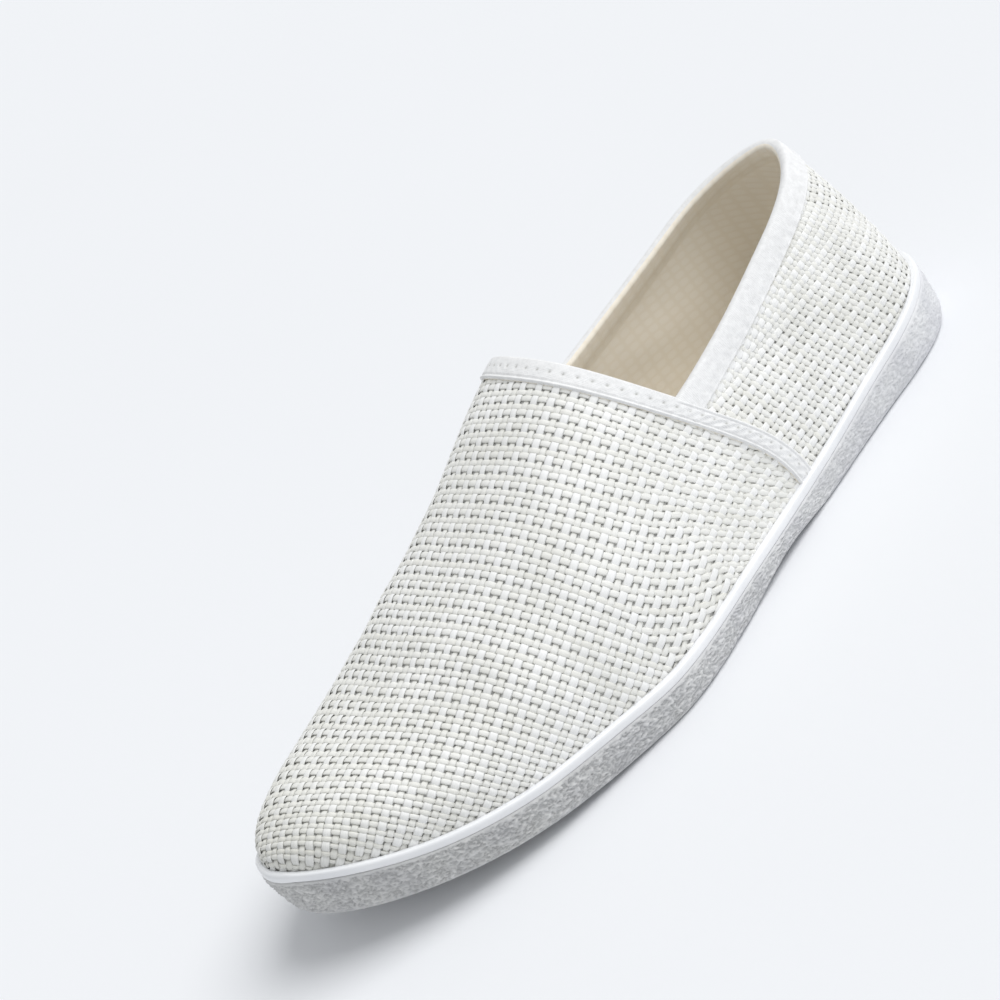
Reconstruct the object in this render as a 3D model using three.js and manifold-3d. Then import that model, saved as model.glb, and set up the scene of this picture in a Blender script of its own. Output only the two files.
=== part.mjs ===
// Woven slip-on shoe for the left foot: outsole, welt bead, hollow woven upper,
// throat and collar bindings, and insole.
// Millimetres, +X towards the toe, +Y to the outer side of the foot, +Z up.
import * as THREE from 'three';
import { mergeVertices } from 'three/addons/utils/BufferGeometryUtils.js';
import Module from 'manifold-3d';

const wasm = await Module();
wasm.setup();

// Driving sizes of the last
const UPPER_LENGTH = 280;
const BALL_WIDTH = 87;
const INSTEP_HEIGHT = 72;
const SOLE_STACK = 19.8;
const HEEL_ROUND = 40;
const TOE_ROUND = 64;
const TOE_POWER = 1.87;
const TOE_CAP = 31.5;
const SECTION_POWER = 2.6;
const TOE_INSET = 8.5;
const RIDGE_INSET = 6.3;
const TOE_SPRING = 13;
const ARCH_RISE = 2;
const HEEL_LEAN = 10.7;

// Topline: heights above the floor, and the throat's places from the toe
const COLLAR_BACK = 74;
const COLLAR_FRONT = 58;
const COLLAR_POWER = 1.55;
const VAMP_LENGTH = 147;
const THROAT_SWEEP = 39;

// Walls, tapes and gaps
const WALL = 2;
const TAPE = 0.9;
const THROAT_TAPE_WIDTH = 6.5;
const COLLAR_TAPE_WIDTH = 7.5;
const GAP = 0.3;

// Sole unit and insole
const BEAD_HEIGHT = 3.2;
const BEAD_WIDTH = 2.6;
const SIDE_OVERHANG = 3.1;
const TOE_TUCK = 3;
const EDGE_ROUND = 2.6;
const INSOLE_THICKNESS = 2.5;
const GROOVE_DEPTH = 1.5;
const GROOVE_WIDTH = 3;
const GROOVE_PITCH = 12;
const TREAD_RIM = 9;

// Faces along and around the forms
const STATIONS = 40;
const LEVELS = 14;
const PRISM_DEPTH = BALL_WIDTH * 3;

// Sections of the last: at is a share of the length, lateral and medial of the ball width,
// rise of the instep height, and sole of the sole's thickness under the heel
const LAST = [
  { at: 0.0, lateral: 0.345, medial: 0.38, rise: 0.835, sole: 1.0 },
  { at: 0.12, lateral: 0.318, medial: 0.38, rise: 0.968, sole: 0.798 },
  { at: 0.3, lateral: 0.392, medial: 0.405, rise: 1.092, sole: 0.576 },
  { at: 0.45, lateral: 0.475, medial: 0.397, rise: 1.063, sole: 0.545 },
  { at: 0.6, lateral: 0.575, medial: 0.42, rise: 0.785, sole: 0.626 },
  { at: 0.7, lateral: 0.55, medial: 0.465, rise: 0.582, sole: 0.702 },
  { at: 0.8, lateral: 0.505, medial: 0.5, rise: 0.395, sole: 0.722 },
  { at: 0.9, lateral: 0.47, medial: 0.472, rise: 0.274, sole: 0.8 },
  { at: 1.0, lateral: 0.43, medial: 0.42, rise: 0.188, sole: 0.995 },
];

// Where the lines along the shoe change, as shares of the length
const HEEL_FLAT_END = 0.3;
const BALL_FLAT_START = 0.5;
const SPRING_START = 0.6;
const INSET_START = 0.5;
const RIDGE_FADE_START = 0.75;
const LEAN_END = 0.4;
const TREAD_END = 0.93;
const LEAN_POWER = 1.25;
const TUCK_POWER = 1.3;

const clamp01 = (value) => Math.min(Math.max(value, 0), 1);

// A smooth curve through one column of the table
function column(name, at) {
  const rows = LAST;
  const last = rows.length - 1;
  const place = clamp01(at);
  let i = 0;
  while (i < last - 1 && place >= rows[i + 1].at) i += 1;
  const slope = (j) => {
    const low = Math.max(j - 1, 0);
    const high = Math.min(j + 1, last);
    return (rows[high][name] - rows[low][name]) / (rows[high].at - rows[low].at);
  };
  const span = rows[i + 1].at - rows[i].at;
  const u = (place - rows[i].at) / span;
  return (1 + 2 * u) * (1 - u) ** 2 * rows[i][name]
    + u * (1 - u) ** 2 * span * slope(i)
    + u * u * (3 - 2 * u) * rows[i + 1][name]
    + u * u * (u - 1) * span * slope(i + 1);
}

// Round ends of the outline, seen from above
function endRound(x) {
  const heel = clamp01(x / HEEL_ROUND);
  const toe = clamp01((UPPER_LENGTH - x) / TOE_ROUND);
  return Math.sqrt(heel * (2 - heel)) * (1 - (1 - toe) ** TOE_POWER) ** (1 / TOE_POWER);
}

function middle(x) {
  return -TOE_INSET * clamp01((x / UPPER_LENGTH - INSET_START) / (1 - INSET_START)) ** 2;
}

function halfWidth(x, side) {
  return BALL_WIDTH * column(side > 0 ? 'lateral' : 'medial', x / UPPER_LENGTH) * endRound(x);
}

// Underside of the sole: flat heel, slight arch, flat ball and toe spring
function ground(x) {
  const at = x / UPPER_LENGTH;
  const spring = TOE_SPRING * clamp01((at - SPRING_START) / (1 - SPRING_START)) ** 2;
  const arch = clamp01((at - HEEL_FLAT_END) / (BALL_FLAT_START - HEEL_FLAT_END));
  return spring + ARCH_RISE * Math.sin(Math.PI * arch) ** 2;
}

// The line where upper and bead meet
function feather(x) {
  const at = x / UPPER_LENGTH;
  const spring = TOE_SPRING * clamp01((at - SPRING_START) / (1 - SPRING_START)) ** 2;
  return spring + SOLE_STACK * column('sole', at);
}

const sidewallTop = (x) => feather(x) - BEAD_HEIGHT;

function rise(x) {
  const cap = clamp01((UPPER_LENGTH - x) / TOE_CAP);
  return INSTEP_HEIGHT * column('rise', x / UPPER_LENGTH) * Math.sqrt(cap * (2 - cap));
}

// A point of the last: turn runs from 0 at the feather line to 1 on the ridge
function lastPoint(x, side, turn) {
  const angle = turn * Math.PI / 2;
  const across = clamp01(Math.cos(angle)) ** (2 / SECTION_POWER);
  const up = rise(x) * clamp01(Math.sin(angle)) ** (2 / SECTION_POWER);
  const fade = clamp01((1 - x / UPPER_LENGTH) / (1 - RIDGE_FADE_START));
  const leanReach = clamp01(1 - x / UPPER_LENGTH / LEAN_END) ** 2;
  const lean = HEEL_LEAN * (up / (COLLAR_BACK - SOLE_STACK)) ** LEAN_POWER * leanReach;
  const y = middle(x) + side * halfWidth(x, side) * across - RIDGE_INSET * Math.sin(angle) * fade;
  return new THREE.Vector3(x + lean, y, feather(x) + up);
}

// Stations round the outline: 0 at the back of the heel, STATIONS at the tip of the toe,
// the outer side between them and the inner side after it
const ROUND = 2 * STATIONS;
const stationX = (i) => UPPER_LENGTH * (1 - Math.cos(Math.PI * i / STATIONS)) / 2;
const stationOf = (k) => (k <= STATIONS ? k : ROUND - k);
const sideOf = (k) => (k <= STATIONS ? 1 : -1);
const mirrorOf = (k) => (ROUND - k) % ROUND;
const levelTurn = (j) => (1 - Math.cos(Math.PI * j / LEVELS)) / 2;

// Points and outward normals of the last, a row for each level
function lastGrid() {
  const points = [];
  for (let j = 0; j <= LEVELS; j += 1) {
    const row = [];
    for (let k = 0; k < ROUND; k += 1) {
      row.push(lastPoint(stationX(stationOf(k)), sideOf(k), levelTurn(j)));
    }
    points.push(row);
  }
  const normals = points.map((row, j) => row.map((point, k) => {
    if (k === STATIONS) return new THREE.Vector3(1, 0, 0);
    const next = row[(k + 1) % ROUND];
    const previous = row[(k + ROUND - 1) % ROUND];
    const above = points[Math.min(j + 1, LEVELS)][k];
    const below = points[Math.max(j - 1, 0)][k];
    const around = next.clone().sub(previous);
    const normal = above.clone().sub(below).cross(around);
    if (j === LEVELS) {
      const ahead = points[j][Math.min(stationOf(k) + 1, STATIONS)];
      const behind = points[j][Math.max(stationOf(k) - 1, 0)];
      const along = ahead.clone().sub(behind);
      normal.set(-along.z, 0, along.x);
    }
    if (j === 0) normal.z = 0;
    return normal.normalize();
  }));
  return { points, normals };
}

const GRID = lastGrid();

function meshGeometry(vertices, faces) {
  const geometry = new THREE.BufferGeometry();
  const position = [];
  for (const face of faces) {
    for (const index of face) position.push(...vertices[index].toArray());
  }
  geometry.setAttribute('position', new THREE.Float32BufferAttribute(position, 3));
  return geometry;
}

// A closed geometry as a solid whose faces point out
function toSolid(geometry) {
  geometry.deleteAttribute('normal');
  geometry.deleteAttribute('uv');
  const merged = mergeVertices(geometry, 1e-4);
  const place = merged.getAttribute('position');
  const index = [...merged.getIndex().array];
  const corner = (i) => new THREE.Vector3().fromBufferAttribute(place, i);
  let volume = 0;
  const kept = [];
  for (let i = 0; i < index.length; i += 3) {
    const [a, b, c] = [index[i], index[i + 1], index[i + 2]];
    if (a === b || b === c || c === a) continue;
    volume += corner(a).dot(corner(b).cross(corner(c)));
    kept.push([a, b, c]);
  }
  const turned = volume < 0 ? kept.map(([a, b, c]) => [a, c, b]) : kept;
  const mesh = new wasm.Mesh({
    numProp: 3,
    vertProperties: new Float32Array(place.array),
    triVerts: new Uint32Array(turned.flat()),
  });
  return new wasm.Manifold(mesh);
}

function toGeometry(solid) {
  const mesh = solid.getMesh();
  const geometry = new THREE.BufferGeometry();
  geometry.setAttribute('position', new THREE.Float32BufferAttribute(mesh.vertProperties, 3));
  geometry.setIndex([...mesh.triVerts]);
  geometry.computeVertexNormals();
  return geometry;
}

// Faces between loops of points, with a flat strip over the first and last loop,
// or closed on itself like a tyre
function loopSolid(loops, closed = false) {
  const vertices = loops.flat();
  const faces = [];
  const id = (j, k) => (j % loops.length) * ROUND + (k % ROUND);
  const bands = closed ? loops.length : loops.length - 1;
  for (let j = 0; j < bands; j += 1) {
    for (let k = 0; k < ROUND; k += 1) {
      faces.push([id(j, k), id(j, k + 1), id(j + 1, k + 1)]);
      faces.push([id(j, k), id(j + 1, k + 1), id(j + 1, k)]);
    }
  }
  const lid = (j, flip) => {
    for (let i = 0; i < STATIONS; i += 1) {
      const [a, b, c, d] = [id(j, i), id(j, i + 1), id(j, mirrorOf(i + 1)), id(j, mirrorOf(i))];
      faces.push(flip ? [a, c, b] : [a, b, c]);
      faces.push(flip ? [a, d, c] : [a, c, d]);
    }
  };
  if (!closed) {
    lid(0, true);
    lid(loops.length - 1, false);
  }
  return toSolid(meshGeometry(vertices, faces));
}

// The outline moved outwards, each point at its own height
function outlineLoop(out, height) {
  return GRID.points[0].map((point, k) => {
    const normal = GRID.normals[0][k];
    const moved = point.clone().addScaledVector(normal, out(point.x));
    return moved.setZ(height(moved.x));
  });
}

// The last grown by an offset, with a skirt down to a height under the feather line
function lastForm(offset, skirt) {
  const grown = GRID.points.map((row, j) => row.map(
    (point, k) => point.clone().addScaledVector(GRID.normals[j][k], offset),
  ));
  for (let k = STATIONS + 1; k < ROUND; k += 1) {
    grown[LEVELS][k].copy(grown[LEVELS][mirrorOf(k)]);
  }
  const hem = grown[0].map((point) => point.clone().setZ(skirt(point.x)));
  const vertices = [hem, ...grown].flat();
  const faces = [];
  const id = (j, k) => j * ROUND + (k % ROUND);
  for (let j = 0; j <= LEVELS; j += 1) {
    for (let k = 0; k < ROUND; k += 1) {
      faces.push([id(j, k), id(j, k + 1), id(j + 1, k + 1)]);
      faces.push([id(j, k), id(j + 1, k + 1), id(j + 1, k)]);
    }
  }
  for (let i = 0; i < STATIONS; i += 1) {
    faces.push([id(0, i), id(0, mirrorOf(i + 1)), id(0, i + 1)]);
    faces.push([id(0, i), id(0, mirrorOf(i)), id(0, mirrorOf(i + 1))]);
  }
  return toSolid(meshGeometry(vertices, faces));
}

// A prism across the shoe, from an outline drawn in the side view
function sidePrism(outline) {
  const shape = new THREE.Shape(outline.map(([x, z]) => new THREE.Vector2(x, z)));
  const geometry = new THREE.ExtrudeGeometry(shape, { depth: PRISM_DEPTH, bevelEnabled: false });
  geometry.rotateX(Math.PI / 2);
  geometry.translate(0, PRISM_DEPTH / 2, 0);
  return toSolid(geometry);
}

// Side view of the throat line, from the feather line up to the ridge
const THROAT_STEPS = 24;
const SKY = 2 * INSTEP_HEIGHT;
const BACK = -UPPER_LENGTH / 4;

function throatLine(shift) {
  const line = [];
  for (let i = 0; i <= THROAT_STEPS; i += 1) {
    const turn = i / THROAT_STEPS;
    const up = Math.sin(turn * Math.PI / 2) ** (2 / SECTION_POWER);
    const sweep = 1 - up + up * (1 - up) ** 3;
    const x = UPPER_LENGTH - VAMP_LENGTH - THROAT_SWEEP * sweep - shift;
    const point = lastPoint(x, 1, turn);
    line.push([point.x, point.z]);
  }
  return line;
}

const lineDown = (line) => [[line[0][0], BACK], ...line];
const lineUp = (line) => [...line, [line.at(-1)[0], SKY]];

// The corner where the throat's rear edge drops below the collar
const REAR_EDGE = throatLine(THROAT_TAPE_WIDTH);
const CORNER = (() => {
  const i = REAR_EDGE.findIndex(([, z]) => z > COLLAR_FRONT);
  const [x0, z0] = REAR_EDGE[i - 1];
  const [x1, z1] = REAR_EDGE[i];
  return { x: x0 + (x1 - x0) * (COLLAR_FRONT - z0) / (z1 - z0), z: COLLAR_FRONT };
})();

// Side view of the collar, falling from the back to the corner
const COLLAR_STEPS = 16;

function collarHeight(x) {
  const along = Math.max((CORNER.x - x) / (CORNER.x - HEEL_LEAN), 0);
  return COLLAR_FRONT + (COLLAR_BACK - COLLAR_FRONT) * along ** COLLAR_POWER;
}

function collarLine(end, lift) {
  const line = [];
  for (let i = 0; i <= COLLAR_STEPS; i += 1) {
    const x = -HEEL_ROUND / 4 + (end + HEEL_ROUND / 4) * i / COLLAR_STEPS;
    line.push([x, collarHeight(x) + lift]);
  }
  return line;
}

// What is open above the topline, pulled back from it by a gap
function mouth(gap) {
  const edge = throatLine(THROAT_TAPE_WIDTH + gap).filter(([, z]) => z > COLLAR_FRONT + gap);
  const collar = collarLine(CORNER.x - gap, gap);
  return sidePrism([...collar, ...lineUp(edge), [BACK, SKY], [BACK, COLLAR_BACK]]);
}

const upperHem = (x) => sidewallTop(x) + GAP;
const deepHem = (x) => sidewallTop(x) - SOLE_STACK;

// Woven upper: one hollow wall, open at the topline and underneath
function makeUpper() {
  const outer = lastForm(0, upperHem);
  const inner = lastForm(-WALL, deepHem);
  return outer.subtract(inner).subtract(mouth(0));
}

// The room that a folded tape takes over the wall, and the wall with a gap round it
function tapeWall() {
  const outer = lastForm(GAP + TAPE, deepHem);
  const inner = lastForm(-WALL - GAP - TAPE, (x) => deepHem(x) - SOLE_STACK);
  return outer.subtract(inner);
}

function clearWall() {
  const outer = lastForm(GAP, deepHem);
  const inner = lastForm(-WALL - GAP, (x) => deepHem(x) - SOLE_STACK);
  return outer.subtract(inner).subtract(mouth(GAP));
}

function underBead() {
  const line = [];
  for (let i = 0; i <= STATIONS; i += 1) {
    const x = stationX(i);
    line.push([x, feather(x) + GAP]);
  }
  const front = UPPER_LENGTH + HEEL_ROUND;
  return sidePrism([[BACK, feather(0) + GAP], ...line, [front, feather(UPPER_LENGTH)], [front, BACK], [BACK, BACK]]);
}

// Tape over the throat's edge, running down both sides over the joint to the bead
function makeThroatBinding() {
  const rear = throatLine(THROAT_TAPE_WIDTH + GAP + TAPE);
  const zone = sidePrism([...lineDown(throatLine(0)), ...lineUp(rear).reverse(), [rear[0][0], BACK]]);
  const insideBelow = lastForm(-WALL / 2, deepHem).subtract(
    sidePrism([[BACK, COLLAR_FRONT], [UPPER_LENGTH * 2, COLLAR_FRONT], [UPPER_LENGTH * 2, SKY], [BACK, SKY]]),
  );
  return tapeWall().intersect(zone).subtract(clearWall()).subtract(insideBelow).subtract(underBead());
}

// Tape folded over the collar, from corner to corner round the heel
function makeCollarBinding() {
  const end = CORNER.x + THROAT_TAPE_WIDTH;
  const top = collarLine(end, GAP + TAPE);
  const low = collarLine(end, -COLLAR_TAPE_WIDTH);
  const zone = sidePrism([...top, ...low.reverse()]);
  const rear = throatLine(THROAT_TAPE_WIDTH + 2 * GAP + TAPE);
  const ahead = sidePrism([...lineDown(rear), [rear.at(-1)[0], SKY], [UPPER_LENGTH, SKY], [UPPER_LENGTH, BACK]]);
  return tapeWall().intersect(zone).subtract(clearWall()).subtract(ahead);
}

// Rubber bead round the top of the sole, at the foot of the upper: rows of its rounded section,
// out as a share of the bead's width and up as a share of its height
const BEAD_SECTION = [
  { out: 0, up: 0 },
  { out: 0.85, up: 0 },
  { out: 1, up: 0.22 },
  { out: 1, up: 0.6 },
  { out: 0.84, up: 0.88 },
  { out: 0.55, up: 1 },
  { out: 0, up: 1 },
];

function makeBead() {
  const depth = BEAD_HEIGHT - GAP;
  return loopSolid(BEAD_SECTION.map(({ out, up }) => outlineLoop(
    () => GAP + (BEAD_WIDTH - GAP) * out,
    (x) => feather(x) - depth * (1 - up),
  )), true);
}

// Side of the outsole, from the rounded lower edge up to the line under the bead:
// in is a share of the edge's rounding, up of the wall's height
const SOLE_SIDE = [
  { inward: 1, up: 0 },
  { inward: 0.35, up: 0.05 },
  { inward: 0.05, up: 0.2 },
  { inward: 0, up: 0.45 },
  { inward: 0.02, up: 0.75 },
  { inward: 0.12, up: 1 },
];

// The side leans in towards the floor round the toe
function soleOut(x, up) {
  const toe = clamp01((x / UPPER_LENGTH - SPRING_START) / (1 - SPRING_START)) ** 2;
  return SIDE_OVERHANG - TOE_TUCK * toe * (1 - up) ** TUCK_POWER;
}

// Shallow grooves across the tread, inside a plain rim
function treadGrooves() {
  const grooves = [];
  const count = Math.floor(UPPER_LENGTH / GROOVE_PITCH);
  for (let i = 1; i < count; i += 1) {
    const x = GROOVE_PITCH * i;
    const at = x / UPPER_LENGTH;
    const waist = at > HEEL_FLAT_END && at < BALL_FLAT_START;
    const left = middle(x) + halfWidth(x, 1) - TREAD_RIM;
    const right = middle(x) - halfWidth(x, -1) + TREAD_RIM;
    if (waist || left - right < 2 * TREAD_RIM || at > TREAD_END) continue;
    const box = new THREE.BoxGeometry(GROOVE_WIDTH, left - right, 2 * GROOVE_DEPTH);
    box.rotateY(-Math.atan2(ground(x + 1) - ground(x - 1), 2));
    box.translate(x, (left + right) / 2, ground(x));
    grooves.push(toSolid(box));
  }
  return grooves;
}

function makeOutsole() {
  const loops = SOLE_SIDE.map(({ inward, up }) => outlineLoop(
    (x) => soleOut(x, up) - EDGE_ROUND * inward,
    (x) => ground(x) + (sidewallTop(x) - ground(x)) * up,
  ));
  return treadGrooves().reduce((solid, groove) => solid.subtract(groove), loopSolid(loops));
}

function makeInsole() {
  const inset = () => -WALL - GAP;
  const loops = [0, INSOLE_THICKNESS].map((up) => outlineLoop(
    inset,
    (x) => sidewallTop(x) + GAP + up,
  ));
  return loopSolid(loops);
}

function finish(color, roughness) {
  return new THREE.MeshStandardMaterial({ color, roughness, metalness: 0 });
}

function node(name, solid, material) {
  const mesh = new THREE.Mesh(toGeometry(solid), material);
  mesh.name = name;
  return mesh;
}

const shoe = new THREE.Group();
shoe.add(
  node('outsole', makeOutsole(), finish(0xd5d7d8, 0.8)),
  node('welt_bead', makeBead(), finish(0xeeefef, 0.35)),
  node('upper', makeUpper(), finish(0xe6e5df, 0.95)),
  node('throat_binding', makeThroatBinding(), finish(0xf2f2f0, 0.85)),
  node('collar_binding', makeCollarBinding(), finish(0xf2f2f0, 0.85)),
  node('insole', makeInsole(), finish(0xb8ab92, 0.9)),
);

// The origin is on the floor, under the middle of the whole shoe
const box = new THREE.Box3().setFromObject(shoe);
const centre = box.getCenter(new THREE.Vector3());
shoe.position.set(-centre.x, -centre.y, -box.min.z);

export default shoe;
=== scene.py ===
import math

import bmesh
import bpy
import numpy as np
from mathutils import Matrix, Vector, noise


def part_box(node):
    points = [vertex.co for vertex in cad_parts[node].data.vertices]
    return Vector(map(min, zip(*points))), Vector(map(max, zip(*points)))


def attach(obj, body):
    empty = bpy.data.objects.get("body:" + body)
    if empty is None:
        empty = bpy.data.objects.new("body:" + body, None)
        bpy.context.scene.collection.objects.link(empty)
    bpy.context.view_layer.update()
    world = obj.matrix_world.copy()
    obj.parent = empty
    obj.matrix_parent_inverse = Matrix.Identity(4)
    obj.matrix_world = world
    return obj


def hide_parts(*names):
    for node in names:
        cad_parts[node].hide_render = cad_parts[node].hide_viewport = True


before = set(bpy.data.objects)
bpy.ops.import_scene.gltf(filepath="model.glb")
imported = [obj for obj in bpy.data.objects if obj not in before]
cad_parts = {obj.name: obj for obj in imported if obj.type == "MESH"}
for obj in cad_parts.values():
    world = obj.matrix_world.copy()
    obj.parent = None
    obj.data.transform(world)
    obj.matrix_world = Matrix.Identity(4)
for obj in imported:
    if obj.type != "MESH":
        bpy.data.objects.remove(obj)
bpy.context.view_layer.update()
bead_low, bead_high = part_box("welt_bead")

# Shapes are worked out in millimetres, with x from the heel's feather line to the toe's
MM = 0.001

# Sizes of the last, the topline and the sole unit
UPPER_LENGTH = 280.0
BALL_WIDTH = 87.0
INSTEP_HEIGHT = 72.0
SOLE_STACK = 19.8
HEEL_ROUND = 40.0
TOE_ROUND = 64.0
TOE_POWER = 1.87
TOE_CAP = 31.5
SECTION_POWER = 2.6
TOE_INSET = 8.5
RIDGE_INSET = 6.3
TOE_SPRING = 13.0
ARCH_RISE = 2.0
HEEL_LEAN = 10.7
COLLAR_BACK = 74.0
COLLAR_FRONT = 58.0
COLLAR_POWER = 1.55
VAMP_LENGTH = 147.0
THROAT_SWEEP = 39.0
WALL = 2.0
THROAT_TAPE_WIDTH = 6.5
COLLAR_TAPE_WIDTH = 7.5
GAP = 0.3
BEAD_HEIGHT = 3.2
BEAD_WIDTH = 2.6
SIDE_OVERHANG = 3.1
TOE_TUCK = 3.0
EDGE_ROUND = 2.6
INSOLE_THICKNESS = 2.5
GROOVE_DEPTH = 1.5
GROOVE_WIDTH = 3.0
GROOVE_PITCH = 12.0
TREAD_RIM = 9.0

HEEL_FLAT_END = 0.3
BALL_FLAT_START = 0.5
SPRING_START = 0.6
INSET_START = 0.5
RIDGE_FADE_START = 0.75
LEAN_END = 0.4
LEAN_POWER = 1.25
TREAD_END = 0.93
TUCK_POWER = 1.3

# Sections of the last, as shares of the length, the ball width, the instep height
# and the sole's thickness under the heel
LAST_COLUMNS = ("at", "lateral", "medial", "rise", "sole")
LAST_ROWS = (
    (0.00, 0.345, 0.380, 0.835, 1.000),
    (0.12, 0.318, 0.380, 0.968, 0.798),
    (0.30, 0.392, 0.405, 1.092, 0.576),
    (0.45, 0.475, 0.397, 1.063, 0.545),
    (0.60, 0.575, 0.420, 0.785, 0.626),
    (0.70, 0.550, 0.465, 0.582, 0.702),
    (0.80, 0.505, 0.500, 0.395, 0.722),
    (0.90, 0.470, 0.472, 0.274, 0.800),
    (1.00, 0.430, 0.420, 0.188, 0.995),
)
LAST = {name: np.array(values) for name, values in zip(LAST_COLUMNS, zip(*LAST_ROWS))}


def clamp01(value):
    return np.clip(value, 0.0, 1.0)


def smoothstep(value):
    share = clamp01(value)
    return share * share * (3 - 2 * share)


def unit(vectors):
    length = np.linalg.norm(vectors, axis=-1, keepdims=True)
    return vectors / np.maximum(length, 1e-9)


def column(name, at):
    """A smooth curve through one column of the last's table."""
    rows = LAST["at"]
    values = LAST[name]
    slopes = np.empty_like(values)
    slopes[1:-1] = (values[2:] - values[:-2]) / (rows[2:] - rows[:-2])
    slopes[0] = (values[1] - values[0]) / (rows[1] - rows[0])
    slopes[-1] = (values[-1] - values[-2]) / (rows[-1] - rows[-2])
    place = clamp01(at)
    i = np.clip(np.searchsorted(rows, place, side="right") - 1, 0, len(rows) - 2)
    span = rows[i + 1] - rows[i]
    u = (place - rows[i]) / span
    return (
        (1 + 2 * u) * (1 - u) ** 2 * values[i]
        + u * (1 - u) ** 2 * span * slopes[i]
        + u * u * (3 - 2 * u) * values[i + 1]
        + u * u * (u - 1) * span * slopes[i + 1]
    )


def end_round(x):
    heel = clamp01(x / HEEL_ROUND)
    toe = clamp01((UPPER_LENGTH - x) / TOE_ROUND)
    return np.sqrt(heel * (2 - heel)) * (1 - (1 - toe) ** TOE_POWER) ** (1 / TOE_POWER)


def middle(x):
    return -TOE_INSET * clamp01((x / UPPER_LENGTH - INSET_START) / (1 - INSET_START)) ** 2


def half_width(x, side):
    at = x / UPPER_LENGTH
    share = np.where(np.asarray(side) > 0, column("lateral", at), column("medial", at))
    return BALL_WIDTH * share * end_round(x)


def spring(x):
    return TOE_SPRING * clamp01((x / UPPER_LENGTH - SPRING_START) / (1 - SPRING_START)) ** 2


def ground(x):
    """Underside of the sole: flat heel, slight arch, flat ball and toe spring."""
    arch = clamp01((x / UPPER_LENGTH - HEEL_FLAT_END) / (BALL_FLAT_START - HEEL_FLAT_END))
    return spring(x) + ARCH_RISE * np.sin(np.pi * arch) ** 2


def feather(x):
    """Height of the line where upper and bead meet."""
    return spring(x) + SOLE_STACK * column("sole", x / UPPER_LENGTH)


def sidewall_top(x):
    return feather(x) - BEAD_HEIGHT


def rise(x):
    cap = clamp01((UPPER_LENGTH - x) / TOE_CAP)
    return INSTEP_HEIGHT * column("rise", x / UPPER_LENGTH) * np.sqrt(cap * (2 - cap))


def up_share(turn):
    return np.sin(turn * np.pi / 2) ** (2 / SECTION_POWER)


def last_point(x, side, turn):
    """A point of the last: turn runs from 0 at the feather line to 1 on the ridge."""
    angle = turn * np.pi / 2
    across = clamp01(np.cos(angle)) ** (2 / SECTION_POWER)
    up = rise(x) * up_share(turn)
    fade = clamp01((1 - x / UPPER_LENGTH) / (1 - RIDGE_FADE_START))
    reach = clamp01(1 - x / UPPER_LENGTH / LEAN_END) ** 2
    lean = HEEL_LEAN * (up / (COLLAR_BACK - SOLE_STACK)) ** LEAN_POWER * reach
    y = middle(x) + side * half_width(x, side) * across - RIDGE_INSET * np.sin(angle) * fade
    return np.stack(np.broadcast_arrays(x + lean, y, feather(x) + up), axis=-1)


# Tables over the last, for going from lengths on the surface to its sections
STATIONS = 360
TURNS = 180
SHARES = 140
STATION_X = UPPER_LENGTH * (1 - np.cos(np.pi * np.arange(STATIONS + 1) / STATIONS)) / 2
TURN_GRID = (1 - np.cos(np.pi * np.arange(TURNS + 1) / TURNS)) / 2
SIDES = (1, -1)


def last_tables():
    grid = np.stack([last_point(STATION_X[:, None], side, TURN_GRID[None, :]) for side in SIDES])
    steps = np.linalg.norm(np.diff(grid, axis=2), axis=-1)
    arcs = np.zeros(grid.shape[:3])
    arcs[:, :, :-1] = np.cumsum(steps[:, :, ::-1], axis=2)[:, :, ::-1]
    totals = arcs[:, :, 0]
    share = np.linspace(0, 1, SHARES + 1)
    turns = np.empty((2, STATIONS + 1, SHARES + 1))
    for s in range(2):
        for i in range(STATIONS):
            turns[s, i] = np.interp(share * totals[s, i], arcs[s, i, ::-1], TURN_GRID[::-1])
    turns[:, -1] = turns[:, -2]
    along = np.gradient(grid, axis=1)
    upward = np.gradient(grid, axis=2)
    normals = np.cross(along, upward)
    normals[0] *= -1
    normals[:, :, 0, 2] = 0
    normals = unit(normals)
    normals[:, -1] = (1, 0, 0)
    for edge in (normals[:, 0], normals[:, :, -1]):
        edge[:] = unit(edge.sum(axis=0))[None]
    return grid, arcs, totals, turns, normals


GRID, ARCS, TOTALS, TURN_TABLE, NORMALS = last_tables()
RIDGE_ARC = np.r_[
    np.cumsum(np.linalg.norm(np.diff(GRID[0, :, -1], axis=0), axis=1)[::-1])[::-1], 0.0
]
FEATHER_ARC = np.stack([
    np.r_[0.0, np.cumsum(np.linalg.norm(np.diff(GRID[s, :, 0], axis=0), axis=1))]
    for s in range(2)
])


def station(x):
    return STATIONS * np.arccos(np.clip(1 - 2 * x / UPPER_LENGTH, -1, 1)) / np.pi


def look_up(table, side, i, k):
    """Value of a table over the last between its rows and columns."""
    s = np.where(np.asarray(side) > 0, 0, 1)
    s, i, k = np.broadcast_arrays(s, i, k)
    i0 = np.clip(i.astype(int), 0, table.shape[1] - 2)
    k0 = np.clip(k.astype(int), 0, table.shape[2] - 2)
    a = i - i0
    b = k - k0
    if table.ndim == 4:
        a = a[..., None]
        b = b[..., None]
    low = table[s, i0, k0] * (1 - b) + table[s, i0, k0 + 1] * b
    high = table[s, i0 + 1, k0] * (1 - b) + table[s, i0 + 1, k0 + 1] * b
    return low * (1 - a) + high * a


def section_length(x, side):
    """Length over a section of the last, from the ridge down to the feather line."""
    return look_up(TOTALS[:, :, None].repeat(2, axis=2), side, station(x), 0.0)


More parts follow.
